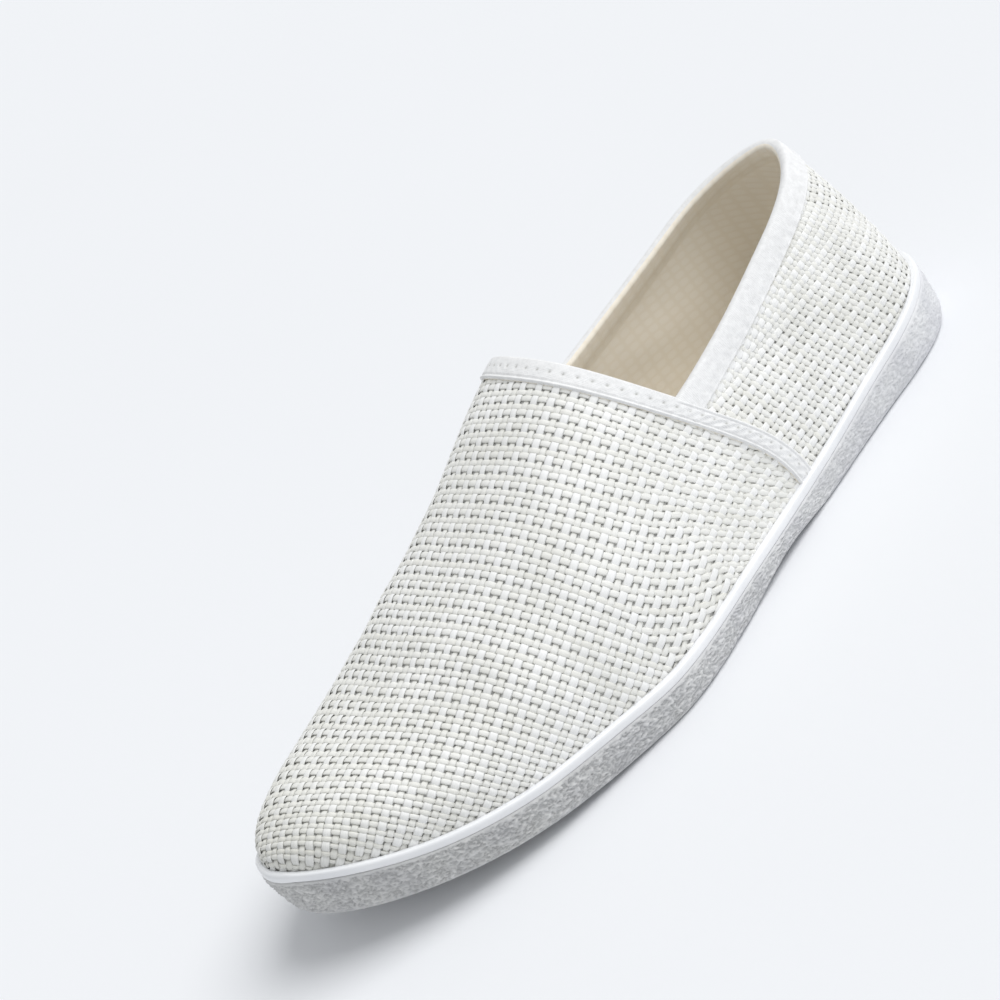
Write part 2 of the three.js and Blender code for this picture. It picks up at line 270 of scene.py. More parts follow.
def turn_at(x, side, from_ridge):
    """Turn at a length from the ridge, and how far the length runs past the feather line."""
    total = section_length(x, side)
    share = clamp01(from_ridge / np.maximum(total, 1e-3))
    turn = look_up(TURN_TABLE, side, station(x), share * SHARES)
    return clamp01(turn), np.maximum(from_ridge - total, 0.0)


def turn_place(turn):
    """Column of the tables where a turn lies."""
    return TURNS * np.arccos(np.clip(1 - 2 * turn, -1, 1)) / np.pi


def normal_at(x, side, turn):
    return unit(look_up(NORMALS, side, station(x), turn_place(turn)))


def ridge_length(x, side, turn):
    """Length over a section of the last, from the ridge down to a turn."""
    return look_up(ARCS, side, station(x), turn_place(turn))


# Soft troughs and ridges of the upper: place along the shoe and up from the feather line,
# reach along and up, tilt in degrees, depth, and the side it is on
CREASE_COLUMNS = ("x", "up", "reach_x", "reach_up", "tilt", "depth", "side")
CREASE_ROWS = (
    (70.0, 30.0, 22.0, 7.0, 24.0, -0.9, 1),
    (96.0, 20.0, 7.0, 16.0, -10.0, 0.7, 1),
    (34.0, 22.0, 9.0, 15.0, 15.0, -0.8, 1),
    (176.0, 22.0, 9.0, 26.0, -18.0, -0.7, 1),
    (205.0, 30.0, 8.0, 24.0, -14.0, 0.5, 1),
    (70.0, 30.0, 24.0, 8.0, 20.0, -0.9, -1),
    (150.0, 24.0, 12.0, 24.0, -20.0, -0.7, -1),
    (190.0, 26.0, 9.0, 22.0, -16.0, 0.6, -1),
)


def crease(x, side, up):
    """How far the cloth stands out or in at a place, from its creases."""
    total = 0.0
    for row in CREASE_ROWS:
        c = dict(zip(CREASE_COLUMNS, row))
        angle = math.radians(c["tilt"])
        dx = x - c["x"]
        dz = up - c["up"]
        along = (dx * math.cos(angle) + dz * math.sin(angle)) / c["reach_x"]
        over = (dz * math.cos(angle) - dx * math.sin(angle)) / c["reach_up"]
        same = np.asarray(side) == c["side"]
        total = total + np.where(same, c["depth"] * np.exp(-along * along - over * over), 0.0)
    return total


def place(x, side, turn, out, drop=0.0):
    """A point at a height over the last, with the creases, and let down under the feather line."""
    point = last_point(x, side, turn)
    normal = normal_at(x, side, turn)
    shift = out + crease(x, side, point[..., 2] - feather(x))
    point = point + normal * np.asarray(shift)[..., None]
    point[..., 2] -= drop
    return point, normal


# Outline of the sole unit: the same stations on both sides, evenly spaced along the outer side
def outline_stations(step):
    length = FEATHER_ARC[0, -1]
    count = int(round(length / step))
    return np.interp(np.linspace(0, length, count + 1), FEATHER_ARC[0], STATION_X)


def outline_points(xs):
    """The feather line and its outward directions, from the heel round the outer side and back."""
    lateral = last_point(xs, 1, np.zeros_like(xs))
    medial = last_point(xs, -1, np.zeros_like(xs))
    loop = np.concatenate([lateral, medial[-2:0:-1]])
    ahead = np.roll(loop, -1, axis=0) - np.roll(loop, 1, axis=0)
    normal = unit(np.stack([-ahead[:, 1], ahead[:, 0], np.zeros(len(loop))], axis=-1))
    return loop, normal


def outline_loop(xs, out, height):
    loop, normal = outline_points(xs)
    moved = loop + normal * np.asarray(out(loop[:, 0]))[..., None]
    moved[:, 2] = height(moved[:, 0])
    return moved


# From the shoe's own place to the shared frame
BEAD_LOOP = outline_loop(STATION_X, lambda x: BEAD_WIDTH + 0 * x, feather)
SHIFT = np.array([
    bead_low.x / MM + BEAD_WIDTH,
    bead_high.y / MM - BEAD_LOOP[:, 1].max(),
    0.0,
])


def to_frame(points):
    return (points + SHIFT) * MM


def add_mesh(name, points, quads, uv=None, values=None, finish=(), finish_of=None):
    """A mesh object from millimetre points and four-cornered faces."""
    points = np.ascontiguousarray(to_frame(points.reshape(-1, 3)), dtype=np.float32)
    quads = np.ascontiguousarray(quads, dtype=np.int32)
    mesh = bpy.data.meshes.new(name)
    mesh.vertices.add(len(points))
    mesh.vertices.foreach_set("co", points.ravel())
    mesh.loops.add(quads.size)
    mesh.loops.foreach_set("vertex_index", quads.ravel())
    mesh.polygons.add(len(quads))
    mesh.polygons.foreach_set("loop_start", np.arange(0, quads.size, 4, dtype=np.int32))
    mesh.polygons.foreach_set("use_smooth", np.ones(len(quads), dtype=bool))
    for material in finish:
        mesh.materials.append(material)
    if finish_of is not None:
        mesh.polygons.foreach_set("material_index", np.asarray(finish_of, dtype=np.int32))
    if uv is not None:
        layer = mesh.uv_layers.new(name="Yarn")
        layer.data.foreach_set("uv", uv.reshape(-1, 2)[quads.ravel()].astype(np.float32).ravel())
    for key, value in (values or {}).items():
        made = mesh.attributes.new(key, "FLOAT", "POINT")
        made.data.foreach_set("value", np.ascontiguousarray(value.ravel(), dtype=np.float32))
    mesh.update(calc_edges=True)
    mesh.validate()
    piece = bpy.data.objects.new(name, mesh)
    bpy.context.collection.objects.link(piece)
    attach(piece, "root")
    return piece


def grid_quads(rows, columns, closed_columns=False, start=0):
    """Faces between the points of a grid, numbered row by row."""
    r = np.arange(rows - 1)[:, None]
    c = np.arange(columns if closed_columns else columns - 1)[None, :]
    following = (c + 1) % columns
    a = start + r * columns + c
    b = start + r * columns + following
    d = start + (r + 1) * columns + c
    e = start + (r + 1) * columns + following
    return np.stack([a, b, e, d], axis=-1).reshape(-1, 4)


# Materials
def new_material(name, finish):
    """A material, its node tree and its shader, with the values that hold all over the surface."""
    material = bpy.data.materials.new(name)
    material.use_nodes = True
    tree = material.node_tree
    shader = tree.nodes["Principled BSDF"]
    for key, value in finish.items():
        shader.inputs[key].default_value = value
    return material, tree, shader


def add_node(tree, kind, inputs=None, **settings):
    made = tree.nodes.new(kind)
    for key, value in settings.items():
        setattr(made, key, value)
    for key, value in (inputs or {}).items():
        made.inputs[key].default_value = value
    return made


def colour_ramp(tree, source, stops):
    """Colours over a value: stops are places and sRGB colours."""
    ramp = add_node(tree, "ShaderNodeValToRGB")
    elements = ramp.color_ramp.elements
    while len(elements) < len(stops):
        elements.new(0.5)
    for element, (at, colour) in zip(elements, stops):
        element.position = at
        element.color = (*to_linear(colour), 1)
    tree.links.new(source, ramp.inputs["Fac"])
    return ramp.outputs["Color"]


def to_linear(colour):
    return [c / 12.92 if c <= 0.04045 else ((c + 0.055) / 1.055) ** 2.4 for c in colour]


def paint(tree, shader, first, *others):
    """Links a colour, multiplied with any others, to the shader."""
    for other in others:
        mix = add_node(tree, "ShaderNodeMix", {"Factor": 1.0}, data_type="RGBA", blend_type="MULTIPLY")
        tree.links.new(first, mix.inputs["A"])
        tree.links.new(other, mix.inputs["B"])
        first = mix.outputs["Result"]
    tree.links.new(first, shader.inputs["Base Color"])


def scaled_noise(tree, coordinates, scale, stretch=(1, 1, 1), detail=2.0, roughness=0.5):
    mapping = add_node(tree, "ShaderNodeMapping", {"Scale": stretch})
    tree.links.new(coordinates, mapping.inputs["Vector"])
    values = {"Scale": scale, "Detail": detail, "Roughness": roughness}
    texture = add_node(tree, "ShaderNodeTexNoise", values)
    tree.links.new(mapping.outputs["Vector"], texture.inputs["Vector"])
    return texture.outputs["Fac"]


def solid_noise(tree, scale, detail=2.0, roughness=0.5):
    """Noise in the object's own space."""
    return scaled_noise(tree, object_coordinates(tree), scale, (1, 1, 1), detail, roughness)


def wave_pair(tree, scales, distortion, detail, operation):
    """Bands along and across the cloth, joined by one operation."""
    made = add_node(tree, "ShaderNodeMath", operation=operation)
    for i, direction in enumerate("XY"):
        values = {"Scale": scales[i] / 3.2, "Distortion": distortion, "Detail": detail}
        wave = add_node(tree, "ShaderNodeTexWave", values, bands_direction=direction)
        tree.links.new(uv_coordinates(tree), wave.inputs["Vector"])
        tree.links.new(wave.outputs["Fac"], made.inputs[i])
    return made.outputs[0]


def bump(tree, shader, height, strength, distance, before=None):
    made = add_node(tree, "ShaderNodeBump", {"Strength": strength, "Distance": distance})
    tree.links.new(height, made.inputs["Height"])
    if before is not None:
        tree.links.new(before, made.inputs["Normal"])
    tree.links.new(made.outputs["Normal"], shader.inputs["Normal"])
    return made.outputs["Normal"]


def object_coordinates(tree):
    return add_node(tree, "ShaderNodeTexCoord").outputs["Object"]


def uv_coordinates(tree):
    return add_node(tree, "ShaderNodeUVMap", uv_map="Yarn").outputs["UV"]


def attribute(tree, name):
    return add_node(tree, "ShaderNodeAttribute", attribute_name=name).outputs["Fac"]


def along_shoe(tree, stops):
    """Colours over the shoe's length, from 0 at the heel to 1 at the toe."""
    mapping = add_node(tree, "ShaderNodeMapping", {"Scale": (3.45, 1, 1), "Location": (0.5, 0, 0)})
    tree.links.new(object_coordinates(tree), mapping.inputs["Vector"])
    gradient = add_node(tree, "ShaderNodeTexGradient")
    tree.links.new(mapping.outputs["Vector"], gradient.inputs["Vector"])
    return colour_ramp(tree, gradient.outputs["Fac"], stops)


def yarn_material():
    """Flat yarn of fine fibres: bright white warp and creamier weft, by each yarn's tint, with painted shade
    where the yarns dip low in the weave and towards the toe tip.
    """
    material, tree, shader = new_material("woven_yarn", {
        "Roughness": 0.62, "Sheen Weight": 0.15, "Sheen Roughness": 0.5,
    })
    tint = colour_ramp(tree, attribute(tree, "tint"), (
        (0.0, (1.0, 1.0, 1.0)), (0.5, (0.99, 0.988, 0.975)), (1.0, (0.97, 0.966, 0.945)),
    ))
    # Painted shade: the low-lying parts of each yarn, down in the gaps of the weave, are coloured darker.
    shade = colour_ramp(tree, attribute(tree, "gap_shade"), (
        (0.0, (1, 1, 1)), (0.3, (0.99, 0.99, 0.99)), (0.7, (0.95, 0.95, 0.945)),
        (1.0, (0.88, 0.88, 0.875)),
    ))
    fibres = scaled_noise(tree, uv_coordinates(tree), 1.0, (0.35, 5.5, 1), 3.0, 0.6)
    streaks = colour_ramp(tree, fibres, ((0.3, (0.955, 0.955, 0.95)), (0.62, (1, 1, 1))))
    cloud = colour_ramp(tree, solid_noise(tree, 60.0), ((0.35, (0.97, 0.97, 0.965)), (0.65, (1, 1, 1))))
    # Painted shade: the yarns darken towards the toe tip; the ramp is also a little darker at the heel end.
    painted_toe_shade = along_shoe(tree, (
        (0.0, (0.97, 0.97, 0.97)), (0.15, (1, 1, 1)), (0.76, (1, 1, 1)),
        (0.92, (0.975, 0.975, 0.97)), (1.0, (0.90, 0.90, 0.89)),
    ))
    paint(tree, shader, tint, shade, streaks, cloud, painted_toe_shade)
    bump(tree, shader, fibres, 0.55, 0.00012)
    return material


def backing_material():
    material, tree, shader = new_material("backing_cloth", {"Roughness": 0.9})
    patches = solid_noise(tree, 900.0)
    paint(tree, shader, colour_ramp(tree, patches, ((0.3, (0.94, 0.94, 0.93)), (0.7, (0.97, 0.97, 0.96)))))
    bump(tree, shader, patches, 0.4, 0.0001)
    return material


def lining_material():
    """Beige lining, with the yarns behind it pressing through as a faint grid."""
    material, tree, shader = new_material("lining_cloth", {"Roughness": 0.85, "Sheen Weight": 0.2})
    grid = wave_pair(tree, (0.208, 0.345), 1.5, 2.0, "MULTIPLY")
    base = colour_ramp(tree, solid_noise(tree, 45.0), (
        (0.3, (0.985, 0.955, 0.90)), (0.7, (0.995, 0.97, 0.92)),
    ))
    shade = colour_ramp(tree, grid, ((0.0, (0.985, 0.98, 0.97)), (0.3, (1, 1, 1))))
    paint(tree, shader, base, shade)
    first = bump(tree, shader, grid, 0.1, 0.0002)
    bump(tree, shader, solid_noise(tree, 1400.0), 0.25, 0.0001, first)
    return material


def tape_material():
    """Fine woven tape, with painted shade darkening its stitch holes."""
    material, tree, shader = new_material("binding_tape_finish", {"Roughness": 0.7, "Sheen Weight": 0.1})
    patches = solid_noise(tree, 480.0, 4.0, 0.65)
    base = colour_ramp(tree, patches, ((0.3, (0.915, 0.915, 0.915)), (0.7, (0.97, 0.97, 0.97))))
    # Painted shade: the dented stitch holes are coloured darker than the cloth around them.
    hole = colour_ramp(tree, attribute(tree, "hole"), (
        (0.0, (1, 1, 1)), (0.45, (0.95, 0.95, 0.945)), (1.0, (0.74, 0.74, 0.725)),
    ))
    paint(tree, shader, base, hole)
    first = bump(tree, shader, wave_pair(tree, (1.6, 2.1), 1.2, 1.0, "ADD"), 0.3, 0.00012)
    bump(tree, shader, patches, 0.5, 0.0005, first)
    return material


def bead_material():
    material, tree, shader = new_material("bead_rubber_finish", {
        "Roughness": 0.32, "Coat Weight": 0.35, "Coat Roughness": 0.2,
    })
    paint(tree, shader, colour_ramp(tree, solid_noise(tree, 70.0), (
        (0.3, (0.935, 0.94, 0.95)), (0.7, (0.965, 0.968, 0.975)),
    )))
    bump(tree, shader, solid_noise(tree, 160.0), 0.25, 0.0004)
    return material


def sole_material():
    """Matt crinkled rubber, with painted shade greying the creases and painted light and shade along its
    length.
    """
    material, tree, shader = new_material("sole_rubber_finish", {"Roughness": 0.55})
    # Painted shade: the crinkle's hollows are coloured greyer than its ridges.
    colour = colour_ramp(tree, attribute(tree, "relief"), (
        (0.0, (0.82, 0.822, 0.825)), (0.35, (0.93, 0.933, 0.935)), (0.9, (1.0, 1.0, 1.0)),
    ))
    # Painted light and shade: the sole is lightest at the heel and darker from the middle to the toe.
    length = along_shoe(tree, (
        (0.0, (0.97, 0.97, 0.975)), (0.45, (0.90, 0.90, 0.90)), (0.8, (0.91, 0.908, 0.90)),
        (1.0, (0.90, 0.898, 0.89)),
    ))
    cloud = colour_ramp(tree, solid_noise(tree, 90.0), ((0.3, (0.94, 0.94, 0.95)), (0.7, (1, 1, 1))))
    paint(tree, shader, colour, length, cloud)
    bump(tree, shader, solid_noise(tree, 1500.0, 3.0), 0.3, 0.00015)
    return material


def insole_material():
    material, tree, shader = new_material("insole_cloth_finish", {"Roughness": 0.8})
    fine = solid_noise(tree, 1600.0, 3.0)
    base = colour_ramp(tree, solid_noise(tree, 40.0), (
        (0.3, (0.91, 0.885, 0.83)), (0.7, (0.94, 0.915, 0.865)),
    ))
    speck = colour_ramp(tree, fine, ((0.3, (0.93, 0.93, 0.92)), (0.6, (1, 1, 1))))
    paint(tree, shader, base, speck)
    bump(tree, shader, fine, 0.4, 0.0002)
    return material


YARN = yarn_material()
BACKING = backing_material()
LINING = lining_material()
TAPE_FINISH = tape_material()
BEAD_FINISH = bead_material()
SOLE_FINISH = sole_material()
INSOLE_FINISH = insole_material()


# Topline
def throat_x(turn, shift=0.0):
    """Where the throat line crosses a section's turn, moved back by a shift."""
    up = up_share(turn)
    sweep = 1 - up + up * (1 - up) ** 3
    return UPPER_LENGTH - VAMP_LENGTH - THROAT_SWEEP * sweep - shift


def corner_place():
    """Turn and place where the throat's rear edge drops below the collar."""
    turns = np.linspace(0, 1, 2001)
    edge = last_point(throat_x(turns, THROAT_TAPE_WIDTH), 1, turns)
    i = int(np.argmax(edge[:, 2] > COLLAR_FRONT))
    return turns[i], edge[i, 0], throat_x(turns[i], THROAT_TAPE_WIDTH)


CORNER_TURN, CORNER_SEEN, CORNER_X = corner_place()


def collar_height(seen):
    along = np.maximum((CORNER_SEEN - seen) / (CORNER_SEEN - HEEL_LEAN), 0.0)
    return COLLAR_FRONT + (COLLAR_BACK - COLLAR_FRONT) * along ** COLLAR_POWER


def collar_turn(x):
    """Turn of the collar's edge on the section at x."""
    low = np.zeros_like(x)
    high = np.ones_like(x)
    for _ in range(30):
        turn = (low + high) / 2
        point = last_point(x, 1, turn)
        over = point[..., 2] > collar_height(point[..., 0])
        high = np.where(over, turn, high)
        low = np.where(over, low, turn)
    return (low + high) / 2


def throat_turn(x):
    """Turn where the throat's rear edge crosses the section at x, or 1 ahead of it."""
    turns = np.linspace(0, 1, 4001)
    edge = np.maximum.accumulate(throat_x(turns, THROAT_TAPE_WIDTH))
    return np.interp(x, edge, turns)


# Charts: the vamp's cloth by length from the toe along the ridge and across it,
# and the quarters' cloth by length from the heel and height over the feather line
WARP_PITCH = 2.9
PAIR_SHARE = 0.42
FLAT_AT = (0.0, 60.0, 125.0)
FLAT_WAVES = (1.12, 1.0, 0.78)
WEFT_SHARES = (0.385, 0.395, 0.432)
EARLY_CROSSING = 0.7
ROW_BEND = 0.0029
ROW_CENTRE = -12.0
ROW_TURN_BACK = 0.5
ROW_SLANT = 0.27
ROW_SLANT_REACH = 46.0
LEAN_FROM = 150.0
LEAN_RATE = 0.09
LEAN_TOE_FROM = 215.0
LEAN_TOE_RATE = 0.0031


def toe_fade(back):
    return np.exp(-(np.maximum(back, 0) / ROW_SLANT_REACH) ** 2)


def row_squeeze(back, across):
    """How much closer the rows run than on the ridge, where they slant round the toe."""
    rate = 2 * np.maximum(back, 0) / ROW_SLANT_REACH ** 2
    return np.clip(1 - ROW_SLANT * across * toe_fade(back) * rate, 0.7, 1.15)


def vamp_chart(back, across):
    """Section and signed length from the ridge, for a place in the vamp's cloth."""
    x = np.interp(back, RIDGE_ARC[::-1], STATION_X[::-1])
    u = across
    for _ in range(10):
        lean = LEAN_RATE * (x - LEAN_FROM) + LEAN_TOE_RATE * np.maximum(x - LEAN_TOE_FROM, 0) ** 2
        u = across + lean
        bend = ROW_BEND * ((u - ROW_CENTRE) ** 2 - ROW_CENTRE ** 2)
        bend = bend * (1 + ROW_TURN_BACK * clamp01((170 - x) / 35))
        bend = bend + ROW_SLANT * u * toe_fade(back)
        x = np.interp(back + bend, RIDGE_ARC[::-1], STATION_X[::-1])
    return x, u


QUARTER_HEEL = 20.0
QUARTER_SPAN = 90.0
QUARTER_LIFT = 10.8
QUARTER_DROP = 13.8


def quarter_chart(side, along, up):
    """Section and height over the feather line, for a place in a quarter's cloth."""
    s = 0 if side > 0 else 1
    lift = QUARTER_LIFT - QUARTER_DROP * smoothstep((up - 25) / 25)
    height = up
    p = along
    for _ in range(12):
        height = up + (p - QUARTER_HEEL) / QUARTER_SPAN * lift
        p = along + (0.4 + 0.35 * np.exp(-np.maximum(along, 0) / 25)) * height
    x = np.interp(p, FEATHER_ARC[s], STATION_X)
    return x, height, p


# Yarns: rings of a flattened section along each run of a line that lies inside its panel
YARN_SECTION = np.array([
    (-0.5, 0.0), (-0.32, 0.40), (0.0, 0.5), (0.32, 0.40), (0.5, 0.0), (0.0, -0.42),
])
UNDER_TAPE = 2.0
UNDER_BEAD = 1.6
CLOTH_MID = -0.18


class YarnSheet:
    """Gathers the tubes of many yarns into one mesh."""

    def __init__(self):
        self.points = []
        self.quads = []
        self.uv = []
        self.tint = []
        self.gap_shade = []
        self.count = 0

    def add(self, points, normals, lift, width, thick, tint, along):
        tangent = unit(np.gradient(points, axis=0))
        across = unit(np.cross(tangent, normals))
        section = YARN_SECTION[None, :, :, None]
        width = np.broadcast_to(width, (len(points),))[:, None, None]
        thick = np.broadcast_to(thick, (len(points),))[:, None, None]
        ring = (
            points[:, None, :]
            + across[:, None, :] * section[:, :, 0] * width
            + normals[:, None, :] * section[:, :, 1] * thick
        )
        n = len(points)
        k = len(YARN_SECTION)
        self.points.append(ring.reshape(-1, 3))
        quads = grid_quads(n, k, True, self.count)
        last = self.count + (n - 1) * k
        first = self.count
        caps = [
            (first + 5, first + 2, first + 1, first + 0), (first + 5, first + 4, first + 3, first + 2),
            (last + 0, last + 1, last + 2, last + 5), (last + 2, last + 3, last + 4, last + 5),
        ]
        self.quads.append(quads)
        self.quads.append(np.array(caps))
        v = np.broadcast_to(YARN_SECTION[:, 0], (n, k)) * width[:, :, 0]
        u = np.broadcast_to(along[:, None], (n, k))
        self.uv.append(np.stack([u, v + tint * 7.3], axis=-1).reshape(-1, 2))
        self.tint.append(np.full(n * k, tint))
        height = lift[:, None] + YARN_SECTION[None, :, 1] * thick[:, :, 0]
        # How low each point of a yarn lies, which drives the painted shade in the weave's gaps.
        self.gap_shade.append(clamp01(0.7 - height).ravel())
        self.count += n * k

    def build(self, name):
        piece = add_mesh(
            name,
            np.concatenate(self.points),
            np.concatenate(self.quads),
            np.concatenate(self.uv),
            {"tint": np.concatenate(self.tint), "gap_shade": np.concatenate(self.gap_shade)},
            (YARN,),
        )
        return piece


def runs(inside):
    """Start and end of each stretch of a mask that is True."""
    padded = np.r_[False, inside, False].astype(int)
    edges = np.flatnonzero(np.diff(padded))
    return [(a, b) for a, b in zip(edges[::2], edges[1::2]) if b - a >= 4]


def wander(rng, places, reach, length):
    """A slow irregular wave along a yarn."""
    total = np.zeros_like(places)
    for share in (1.0, 0.43):
        total += share * np.sin(places / (length * share) + rng.uniform(0, 2 * np.pi))
    return reach * total / 1.4


def flat_wave(wave):
    """A wave with flatter crests, as a flat yarn bends over its neighbours."""
    return wave * (1.28 - 0.28 * wave * wave)


def pair_phase(share):
    """Up at the first weft of a pair and down at the second, crossing early in the wide gap."""
    inside = share - np.floor(share)
    near = np.cos(np.pi * inside / PAIR_SHARE)
    gap = clamp01((inside - PAIR_SHARE) / (1 - PAIR_SHARE)) ** EARLY_CROSSING
    return np.where(inside < PAIR_SHARE, near, np.cos(np.pi + np.pi * gap))


# Pitch of the paired wefts by length from the toe along the ridge
ROW_PITCHES = (
    (-40.0, 3.2), (0.0, 3.3), (12.0, 3.8), (30.0, 4.8), (60.0, 4.95), (110.0, 4.55), (150.0, 4.3),
    (200.0, 4.3),
)
ROW_BACK = np.arange(-40.0, 200.0, 0.2)
ROW_PITCH = np.interp(ROW_BACK, [row[0] for row in ROW_PITCHES], [row[1] for row in ROW_PITCHES])
ROW_NUMBER = np.cumsum(0.2 / ROW_PITCH)
ROW_NUMBER -= np.interp(0.0, ROW_BACK, ROW_NUMBER)

WHITE_WIDTH = 2.5
CREAM_WIDTH = 2.15
WARP_THICK = 0.6
WARP_WAVE = 0.29
WEFT_THICK = 0.58
WARP_OFFSET = 0.11
FIRST_WAVE = 0.20
SECOND_WAVE = 0.34
WARP_STEP = 0.58
WEFT_STEP = 0.68


def in_vamp(x, turn, drop):
    return (x > throat_x(turn) - UNDER_TAPE) & (drop < UNDER_BEAD) & (x < UPPER_LENGTH - 0.02)


def vamp_line(back, across, lift, width, thick, tint, sheet, along):
    """Adds one yarn of the vamp, given as lengths in the cloth."""
    x, u = vamp_chart(back, across)
    side = np.where(u >= 0, 1, -1)
    turn, drop = turn_at(x, side, np.abs(u))
    inside = in_vamp(x, turn, drop) & (back > -40)
    for a, b in runs(inside):
        points, normals = place(x[a:b], side[a:b], turn[a:b], CLOTH_MID + lift[a:b], drop[a:b])
        sheet.add(points, normals, lift[a:b], width[a:b], thick, tint, along[a:b])


def warp_yarn(rng, j, places, wave, width_share, lift_share, uneven):
    """Width, lift and tint of one warp: wide white yarns between narrower cream ones."""
    odd = j % 2
    width = (WHITE_WIDTH, CREAM_WIDTH)[odd] * width_share * (1 + rng.uniform(-0.06, 0.05)) * (1 + 0.04 * wave)
    lift = WARP_WAVE * lift_share * flat_wave(wave) + wander(rng, places, uneven, 5.0)
    lift += -WARP_OFFSET if odd else WARP_OFFSET
    return width, lift, rng.uniform(0.45, 0.8) if odd else rng.uniform(0.0, 0.18)


def weft_yarn(rng, half, places, wave, size, lift_share, uneven):
    """Width, lift and tint of one weft of a pair."""
    width = size * (1 + rng.uniform(-0.05, 0.05)) * (1 + 0.05 * wave)
    lift = (FIRST_WAVE, SECOND_WAVE)[half] * lift_share * flat_wave(wave)
    lift = lift + wander(rng, places, uneven, 5.0)
    return width, lift, rng.uniform(0.55, 1.0) if half else rng.uniform(0.35, 0.75)


def build_vamp():
    rng = np.random.default_rng(5)
    warps = YarnSheet()
    back = np.arange(-8, 190, WARP_STEP)
    pairs = np.interp(back, ROW_BACK, ROW_NUMBER)
    for j in range(-44, 45):
        wave = pair_phase(pairs) * (-1 if j % 2 else 1)
        across = WARP_PITCH * j + wander(rng, back, 0.16, 9.0)
        flat = np.interp(back, FLAT_AT, FLAT_WAVES)
        width, lift, tint = warp_yarn(rng, j, back, wave, 1.0, flat, 0.04)
        vamp_line(back, across, lift, width, WARP_THICK, tint, warps, back)
    wefts = YarnSheet()
    across = np.arange(-125, 125, WEFT_STEP)
    for pair in range(-2, 40):
        for half in range(2):
            wave = np.cos(np.pi * across / WARP_PITCH) * (-1 if half == 0 else 1)
            start = np.interp(pair + PAIR_SHARE * half, ROW_NUMBER, ROW_BACK)
            pitch = np.interp(start, ROW_BACK, ROW_PITCH)
            back_line = start + wander(rng, across, 0.13, 8.0) + rng.uniform(-0.06, 0.06)
            size = np.interp(start, FLAT_AT, WEFT_SHARES) * pitch
            flat = np.interp(start, FLAT_AT, FLAT_WAVES)
            width, lift, tint = weft_yarn(rng, half, across, wave, size, flat, 0.04)
            width = width * row_squeeze(start, across)
            vamp_line(back_line, across, lift, width, WEFT_THICK, tint, wefts, across)
    return warps.build("vamp_warp"), wefts.build("vamp_weft")


QUARTER_WARP_PITCH = 2.65
QUARTER_PAIR_PITCH = 4.7
QUARTER_WEFT_SHARE = 0.42
QUARTER_WAVE = 0.8
SEAM_REACH = 1.8


def quarter_line(side, along, up, lift, width, thick, tint, sheet, length):
    x, height, p = quarter_chart(side, along, up)
    total = section_length(x, side)
    turn, drop = turn_at(x, side, total - height)
    seen = last_point(x, side, turn)
    inside = (
        (x < throat_x(turn, THROAT_TAPE_WIDTH) + UNDER_TAPE)
        & (seen[..., 2] < collar_height(seen[..., 0]) - COLLAR_TAPE_WIDTH + UNDER_TAPE)
        & (height > -UNDER_BEAD)
        & (p >= 0)
    )
    seam = -1.0 * (1 - smoothstep(p / SEAM_REACH)) ** 2
    for a, b in runs(inside):
        points, normals = place(x[a:b], side, turn[a:b], CLOTH_MID + (lift + seam)[a:b], drop[a:b])
        sheet.add(points, normals, lift[a:b], width[a:b], thick, tint, length[a:b])


def build_quarters():
    rng = np.random.default_rng(11)
    warps = YarnSheet()
    wefts = YarnSheet()
    for side in SIDES:
        along = np.arange(-60, 150, WARP_STEP)
        for j in range(-8, 26):
            wave = pair_phase(along / QUARTER_PAIR_PITCH) * (-1 if j % 2 else 1)
            up = QUARTER_WARP_PITCH * j + wander(rng, along, 0.15, 9.0)
            width, lift, tint = warp_yarn(rng, j, along, wave, 0.97, QUARTER_WAVE, 0.03)
            quarter_line(side, along, up, lift, width, WARP_THICK, tint, warps, along)
        up = np.arange(-22, 66, WEFT_STEP)
        for pair in range(-14, 34):
            for half in range(2):
                wave = np.cos(np.pi * up / QUARTER_WARP_PITCH) * (-1 if half == 0 else 1)
                start = QUARTER_PAIR_PITCH * (pair + PAIR_SHARE * half)
                line = start + wander(rng, up, 0.15, 8.0) + rng.uniform(-0.08, 0.08)
                size = QUARTER_WEFT_SHARE * QUARTER_PAIR_PITCH
                width, lift, tint = weft_yarn(rng, half, up, wave, size, QUARTER_WAVE, 0.03)
                quarter_line(side, line, up, lift, width, WEFT_THICK, tint, wefts, up)
    return warps.build("quarter_warp"), wefts.build("quarter_weft")


# Shell under the yarns: backing cloth outside and lining inside, open at the topline
BACKING_OUT = -0.62
LINING_IN = -WALL
SHELL_ROWS = 46
THROAT_END = UPPER_LENGTH - VAMP_LENGTH - THROAT_TAPE_WIDTH


